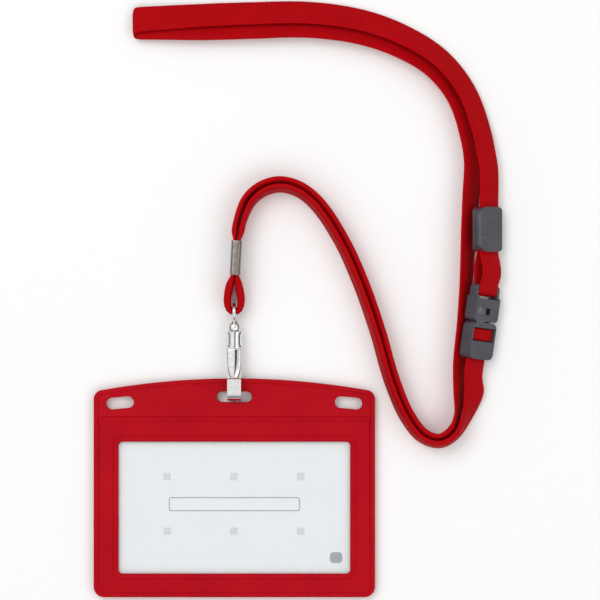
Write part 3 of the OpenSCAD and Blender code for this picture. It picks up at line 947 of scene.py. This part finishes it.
# the crimped sleeve
sleeveShape = {
    "halfW": 1.95,
    "halfH": 5.5,
    "wall": 0.4,
    "corner": 1.2,
    "cornerFlat": 1.2,  # how far down each side the top and bottom are felt
    "dents": (-3.4, 0, 3.4),
    "dentDeep": 0.06,
    "dentWide": 0.9,
    "lipDeep": 0.1,
    "lipWide": 0.25,
    "seamX": 0.45,
    "seamDeep": 0.13,
    "seamWide": 0.16,
    "steps": 53,
}


def dip(distance, width):
    return math.exp(-(distance / width) ** 2)


def makeSleeve():
    s = sleeveShape
    place = Matrix.Translation(crimp["at"]) @ Matrix.Rotation(-crimp["turn"], 4, "Z")

    def ring(y, shrink, dent):
        loop = roundedLoop((0, 0), 2 * (s["halfW"] - shrink), 2 * (s["halfH"] - shrink),
                           s["corner"] - shrink * 0.9)
        out = []
        for p in loop:
            x, z = p
            flat = dip(abs(z) - s["halfH"], s["cornerFlat"])
            z -= math.copysign(dent * (1 - 0.4 * abs(x) / s["halfW"]), z)
            x -= math.copysign(dent * 0.6 * (1 - flat), x)
            if shrink == 0 and z > 0:
                z -= s["seamDeep"] * dip(x - s["seamX"], s["seamWide"]) * flat
            out.append(place @ Vector((x, y, z)) * mm)
        return out

    outer, inner = [], []
    for k in range(s["steps"] + 1):
        y = (k / s["steps"] - 0.5) * crimp["length"]
        dent = sum(s["dentDeep"] * dip(y - at, s["dentWide"]) for at in s["dents"])
        lip = s["lipDeep"] * dip(abs(y) - crimp["length"] / 2, s["lipWide"])
        outer.append(ring(y, 0, dent + lip))
        inner.append(ring(y, s["wall"], 0))
    rings = outer + inner[::-1] + [outer[0]]
    size = len(rings[0])
    verts = [v for r in rings[:-1] for v in r]
    faces = []
    for i in range(len(rings) - 1):
        a, b = i * size, (i + 1) % (len(rings) - 1) * size
        faces += [(a + j, a + (j + 1) % size, b + (j + 1) % size, b + j) for j in range(size)]
    mesh = faceOutwards(meshFrom("crimpSleeve", verts, faces))
    mesh.set_sharp_from_angle(angle=math.radians(50))
    addPiece("crimpSleeve", mesh, "sleeve", "lanyard", ["crimp_sleeve"])


makeSleeve()


# the ribbon's end, doubled round the plug's bar
plugPatch = {
    "centre": (0, -4.85, 0.65),
    "half": (5.7, 2.35, 1.4),
    "power": 0.38,
    "rounds": 24,
    "sides": 48,
    "poleGap": 0.999,  # stops just short of the two ends
}


def makePlugPatch():
    p = plugPatch
    place = fittingMatrix(fittings["claspAt"], fittings["claspTurn"])
    rounds, size = p["rounds"], p["sides"]
    verts, marks = [], []

    def bulge(value):
        return swell(value, p["power"])

    for i in range(rounds + 1):
        v = math.pi * (i / rounds - 0.5) * p["poleGap"]
        for j in range(size):
            u = math.tau * j / size
            shape = (bulge(math.sin(v)), bulge(math.cos(v)) * bulge(math.cos(u)),
                     bulge(math.cos(v)) * bulge(math.sin(u)))
            local = [c + h * s for c, h, s in zip(p["centre"], p["half"], shape)]
            verts.append(place @ Vector(local) * mm)
            marks.append((local[0], local[1] + local[2]))
    faces = ringFaces(rounds + 1, size)
    faces += [tuple(range(size - 1, -1, -1)), tuple(range(rounds * size, (rounds + 1) * size))]
    mesh = meshFrom("plugPatch", verts, faces)
    uv = mesh.uv_layers.new(name="weave")
    for loop in mesh.loops:
        uv.data[loop.index].uv = marks[loop.vertex_index]
    faceOutwards(mesh)
    addPiece("plugPatch", mesh, "ribbon", "plug", ["plug_strap_end"])


makePlugPatch()
print("fittings ready")


# the CAD pieces that stay: finish, and width of the softened edge in mm
cadFinishes = {
    "back_panel": ("vinyl", 0.2),
    "header_backing": ("vinyl", 0.12),
    "window_film": ("film", 0),
    "card_insert": ("card", 0.05),
    "hook_frame": ("nickel", 0.3),
    "swivel_collar": ("nickel", 0.15),
    "swivel_eye": ("nickel", 0),
    "gate_pin": ("nickel", 0.1),
    "gate_spring": ("spring", 0.1),
    "adjuster_front": ("plastic", 0.3),
    "adjuster_back": ("plastic", 0.3),
    "clasp_socket": ("plastic", 0.25),
    "clasp_plug": ("plastic", 0.25),
}


flatAngle = math.radians(1)  # faces this near to flat join into one
bendAngle = math.radians(35)  # edges sharper than this are softened


def finishCadNode(name, finish, softEdge):
    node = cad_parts[name]
    node.data.materials.clear()
    node.data.materials.append(finishes[finish])
    if softEdge:
        tidy = node.modifiers.new("tidyFaces", "DECIMATE")
        tidy.decimate_type = "DISSOLVE"
        tidy.angle_limit = flatAngle
        bevel = node.modifiers.new("softEdges", "BEVEL")
        bevel.width = softEdge * mm
        bevel.segments = 3
        bevel.limit_method = "ANGLE"
        bevel.angle_limit = bendAngle
        bevel.harden_normals = True


for nodeName, (finish, softEdge) in cadFinishes.items():
    finishCadNode(nodeName, finish, softEdge)
print("CAD pieces finished")
